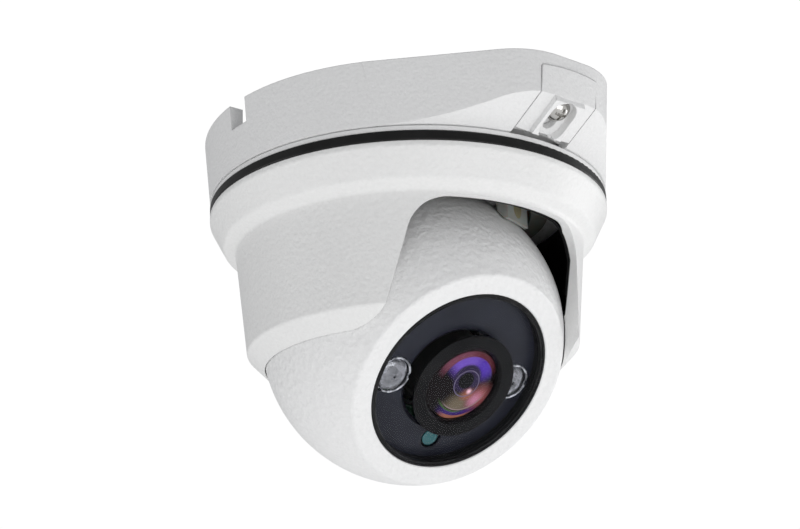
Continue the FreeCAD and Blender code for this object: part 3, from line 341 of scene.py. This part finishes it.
WHITE = (0.86, 0.86, 0.855)
finish = {
    "painted_white": powder_coat("powder_coat_white", WHITE, 900, 0.45, 0.07),
    "black_rubber": moulded("seal_rubber", (0.006, 0.006, 0.006), 0.3, 0.42, 700, 0.02, 0.5,
                            Specular_IOR_Level=0.3),
    "chrome": metal("plated_steel", (0.55, 0.54, 0.52), 0.08, 0.16, 0.12),
    "steel": metal("plain_steel", (0.55, 0.55, 0.55), 0.3, 0.45),
    # painted shade: the nylon's colour is darkened to grey where the finger sits in the cowl's
    # shade
    "white_nylon": moulded("natural_nylon_painted_shade", (0.3, 0.31, 0.29), 0.3, 0.45, 800, 0.02, 0.4,
                           Subsurface_Weight=0.3, Subsurface_Scale=0.003),
    "beige_pad": moulded("felt_pad", (0.22, 0.2, 0.12), 0.6, 0.8, 1600, 0.04, 0.3),
    "black_plastic": moulded("matt_black_plastic", (0.004, 0.004, 0.0045), 0.45, 0.6,
                             Specular_IOR_Level=0.2),
    # black mask, with a navy lift in its colour that is a painted reflection of the window glass
    "mask_black": moulded("mask_black_with_painted_reflection", (0.009, 0.0102, 0.0175), 0.3, 0.4, 1100, 0.004, 0.2,
                          Specular_IOR_Level=0.25),
    "clear_glass": clear("window_clear", (0.98, 0.985, 1.0), 0.02, 0.0012),
    "clear_plastic": clear("lamp_cap_clear", (0.95, 0.955, 0.97), 0.1, 0.16),
    # painted reflections: the lens coating's coloured glare and highlight are painted into its
    # colour
    "coated_glass": painted_lens_reflections("coated_lens_painted_reflections"),
    "sensor_teal": moulded("sensor_window_teal", (0.018, 0.12, 0.125), 0.15, 0.3, 900, 0.02, 0.3),
    "circuit_board": circuit("solder_mask_green"),
    "emitter": moulded("emitter_package", (0.5, 0.46, 0.3), 0.3, 0.4),
    "lens_black": moulded("anodised_black", (0.0008, 0.0008, 0.001), 0.3, 0.36, 700, 0.001, 0.3,
                          Specular_IOR_Level=0.12),
    "grey_plastic": moulded("grey_plastic", (0.16, 0.16, 0.16), 0.4, 0.55),
    "brass": metal("turned_brass", (0.72, 0.52, 0.22), 0.2, 0.35),
    "silicon": moulded("sensor_package", (0.02, 0.02, 0.03), 0.2, 0.3),
}
cowl_coat_and_painted_shade = powder_coat("powder_coat_cowl_painted_shade_inside", WHITE, 1100, 0.4, 0.16)
# painted shade: the inside of the cowl is painted near black
paint_shade_inside_cowl(cowl_coat_and_painted_shade, (0.004, 0.004, 0.004))
base_finish = powder_coat("powder_coat_base", (0.84, 0.84, 0.84), 1300, 0.35, 0.12)
ball_finish = powder_coat("powder_coat_ball", (0.87, 0.87, 0.87), 800, 0.5, 0.3)

own_finish = {
    "cover": cowl_coat_and_painted_shade,
    "base_housing": base_finish,
    "carrier_ring": base_finish,
    "latch_slider": base_finish,
    "ball_front_shell": ball_finish,
    "ball_rear_shell": ball_finish,
}
for row in frame["record"]["subparts"]:
    node = frame["nodes"][row["node"]]
    chosen = own_finish.get(row["node"], finish[row["material_slot"]])
    node.data.materials.clear()
    node.data.materials.append(chosen.material)


# ---------------------------------------------------------------- mesh helpers
def piece(name, build, where, body, shader):
    """A new smooth piece, made by build(bmesh) in millimetres in the frame that is given."""
    mesh = bpy.data.meshes.new(name)
    made = bmesh.new()
    build(made)
    bmesh.ops.recalc_face_normals(made, faces=made.faces)
    bmesh.ops.scale(made, vec=(MM, MM, MM), verts=made.verts)
    made.to_mesh(mesh)
    made.free()
    mesh.transform(where)
    mesh.materials.append(shader.material)
    mesh.shade_smooth()
    thing = bpy.data.objects.new(name, mesh)
    bpy.context.scene.collection.objects.link(thing)
    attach(thing, body)
    return thing


def lathe(profile, count, inset=None):
    """A builder that turns (radius, height) corners about Z; inset(corner, angle) narrows them."""
    def build(mesh):
        rings = []
        for index in range(count):
            angle = TURN * index / count
            ring = []
            for corner, (radius, height) in enumerate(profile):
                if inset:
                    radius -= inset(corner, angle)
                across = radius * math.cos(angle)
                along = radius * math.sin(angle)
                ring.append(mesh.verts.new((across, along, height)))
            rings.append(ring)
        size = len(profile)
        for index, ring in enumerate(rings):
            following = rings[(index + 1) % count]
            for corner in range(size):
                nxt = (corner + 1) % size
                mesh.faces.new((ring[corner], ring[nxt], following[nxt], following[corner]))
        bmesh.ops.remove_doubles(mesh, verts=mesh.verts, dist=1e-5)
    return build


# ---------------------------------------------------------------- infrared lamp caps
NOTCH_COUNT = 3
NOTCH_HALF_ANGLE = 0.16
CAP_NOTCH_CORNERS = (2, 3)
CAP_NOTCH_DEPTH = 0.45
RIM_NOTCH_DEPTH = 0.4


def in_notch(angle):
    """Whether an angle falls in one of the shallow notches round the cap."""
    centres = [TURN * k / NOTCH_COUNT for k in range(NOTCH_COUNT)]
    offsets = [abs((angle - centre + math.pi) % TURN - math.pi) for centre in centres]
    return min(offsets) < NOTCH_HALF_ANGLE


def cap_notch(corner, angle):
    return CAP_NOTCH_DEPTH if corner in CAP_NOTCH_CORNERS and in_notch(angle) else 0


def rim_notch(_, angle):
    return RIM_NOTCH_DEPTH if in_notch(angle) else 0


def streaks_and_painted_reflections(name, dark, bright, scale, relief):
    """Clear moulding seen against silver: cloudy streaks between a dark and a bright tone, which
    are partly the moulding's own cloudiness and partly painted reflections and highlights.
    """
    shader = Shader(name, Metallic=0.3, Coat_Weight=0.5)
    streaks = shader.noise(scale, 2)
    shader.set(
        Base_Color=shader.mix(shader.span(streaks, 0.4, 0.62, smooth=True), dark, bright),
        Roughness=shader.span(streaks, 0.3, 0.7, 0.2, 0.32),
    )
    shader.bump(streaks, relief, 0.1)
    return shader


# painted highlights and reflections: the bright and dark streaks on the rim and the cup stand in
# for light caught by the silvered cup
rim_painted_highlights = streaks_and_painted_reflections("frosted_rim_painted_highlights", (0.2, 0.205, 0.215), (0.78, 0.79, 0.8), 520, 0.1)
cup_painted_reflections = streaks_and_painted_reflections("silvered_cup_painted_reflections", (0.16, 0.16, 0.165), (0.8, 0.79, 0.8), 330, 0.3)
CAP = [
    (4.55, 16.0), (5.0, 16.0), (5.15, 22.4), (5.15, 23.0), (4.75, 23.1), (4.7, 23.25),
    (4.3, 23.55), (3.6, 23.95), (2.6, 24.2), (1.4, 24.36), (0.02, 24.4), (0.02, 24.0),
    (1.4, 23.95), (2.6, 23.8), (3.5, 23.55), (4.2, 23.1), (4.45, 22.4),
]
RIM = [(5.2, 22.7), (5.2, 23.1), (5.05, 23.25), (4.75, 23.25), (4.6, 23.1), (4.6, 22.8)]
CUP = [
    (4.4, 22.2), (4.2, 21.0), (3.2, 18.2), (1.9, 16.4),
    (0.02, 16.3), (0.02, 16.1), (2.0, 16.2), (4.5, 21.0),
]
for side, (x, y) in LAMP_SPOTS.items():
    spot = BALL @ Matrix.Translation(Vector((x, y, 0)) * MM)
    cap = piece(f"lamp_cap_{side}", lathe(CAP, 72, cap_notch), spot, "ball",
                finish["clear_plastic"])
    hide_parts(f"led_lens_{side}")
    piece(f"lamp_rim_{side}", lathe(RIM, 72, rim_notch), spot, "ball", rim_painted_highlights)
    piece(f"lamp_cup_{side}", lathe(CUP, 64), spot, "ball", cup_painted_reflections)


# ---------------------------------------------------------------- floor, light and camera
FLOOR_SIZE = 8
FLOOR_HEIGHT = -0.3
FLOOR_GLOW = 0.54
BACKDROP = 1.02
FILL = 0.31
OBJECT_MIDDLE = Vector((0, 0, -50)) * MM


def stage_floor():
    bpy.ops.mesh.primitive_plane_add(size=FLOOR_SIZE, location=(0, 0, FLOOR_HEIGHT))
    floor = bpy.context.object
    floor.name = "floor"
    shader = Shader("pale_floor", Roughness=0.8)
    tone = shader.span(shader.noise(3), 0.3, 0.7, 0.8, 0.84)
    shader.set(
        Base_Color=shader.mix(1.0, (1, 1, 1), tone, "MULTIPLY"),
        Emission_Color=(1, 1, 1),
        Emission_Strength=FLOOR_GLOW,
    )
    floor.data.materials.append(shader.material)


def studio_world():
    """A white backdrop for the camera, and a softer fill for everything that it lights."""
    world = bpy.data.worlds.new("studio")
    bpy.context.scene.world = world
    world.use_nodes = True
    tree = world.node_tree
    tree.nodes.clear()
    output = tree.nodes.new("ShaderNodeOutputWorld")
    blend = tree.nodes.new("ShaderNodeMixShader")
    seen = tree.nodes.new("ShaderNodeLightPath")
    white = tree.nodes.new("ShaderNodeBackground")
    white.inputs["Color"].default_value = (1, 1, 1, 1)
    white.inputs["Strength"].default_value = BACKDROP
    soft = tree.nodes.new("ShaderNodeBackground")
    soft.inputs["Color"].default_value = (0.97, 0.98, 1, 1)
    soft.inputs["Strength"].default_value = FILL
    tree.links.new(seen.outputs["Is Camera Ray"], blend.inputs[0])
    tree.links.new(soft.outputs[0], blend.inputs[1])
    tree.links.new(white.outputs[0], blend.inputs[2])
    tree.links.new(blend.outputs[0], output.inputs[0])


def outward(azimuth, elevation):
    """The direction from the object to a viewer; azimuth 0 is in front, 90 to the right."""
    a, e = math.radians(azimuth), math.radians(elevation)
    return Vector((math.sin(a) * math.cos(e), -math.cos(a) * math.cos(e), math.sin(e)))


def softbox(name, azimuth, elevation, distance, width, height, power):
    """An area light round the object, aimed at its middle."""
    light = bpy.data.lights.new(name, "AREA")
    light.shape = "RECTANGLE"
    light.size, light.size_y = width, height
    light.energy = power
    lamp = bpy.data.objects.new(name, light)
    way = outward(azimuth, elevation)
    lamp.location = OBJECT_MIDDLE + way * distance
    lamp.rotation_euler = way.to_track_quat("Z", "Y").to_euler()
    lamp.visible_camera = False
    bpy.context.scene.collection.objects.link(lamp)


CAMERA_AZIMUTH = -38.3
CAMERA_ELEVATION = -19.53
CAMERA_ROLL = math.radians(-1.98)
CAMERA_TARGET = Vector((-2.2, 1.74, -34.39)) * MM
CAMERA_DISTANCE = 433.5 * MM
FOCAL_LENGTH = 70.65


def camera():
    back = outward(CAMERA_AZIMUTH, CAMERA_ELEVATION)
    right = Vector((0, 0, 1)).cross(back).normalized()
    up = back.cross(right)
    across = right * math.cos(CAMERA_ROLL) + up * math.sin(CAMERA_ROLL)
    above = up * math.cos(CAMERA_ROLL) - right * math.sin(CAMERA_ROLL)
    turn = Matrix((across, above, back)).transposed().to_4x4()
    lens = bpy.data.cameras.new("camera")
    lens.sensor_width = 36
    lens.lens = FOCAL_LENGTH
    lens.clip_start = 0.01
    lens.clip_end = 50
    seer = bpy.data.objects.new("camera", lens)
    seer.matrix_world = Matrix.Translation(CAMERA_TARGET + back * CAMERA_DISTANCE) @ turn
    bpy.context.scene.collection.objects.link(seer)
    bpy.context.scene.camera = seer


stage_floor()
studio_world()
softbox("right_softbox", 75, -5, 0.9, 0.35, 0.7, 2.6)
softbox("left_softbox", -115, -10, 0.9, 0.3, 0.7, 1.2)
softbox("front_low_softbox", -5, -28, 0.45, 0.3, 0.25, 0.55)
camera()
bpy.context.scene.view_settings.view_transform = "Standard"
bpy.context.scene.view_settings.look = "None"
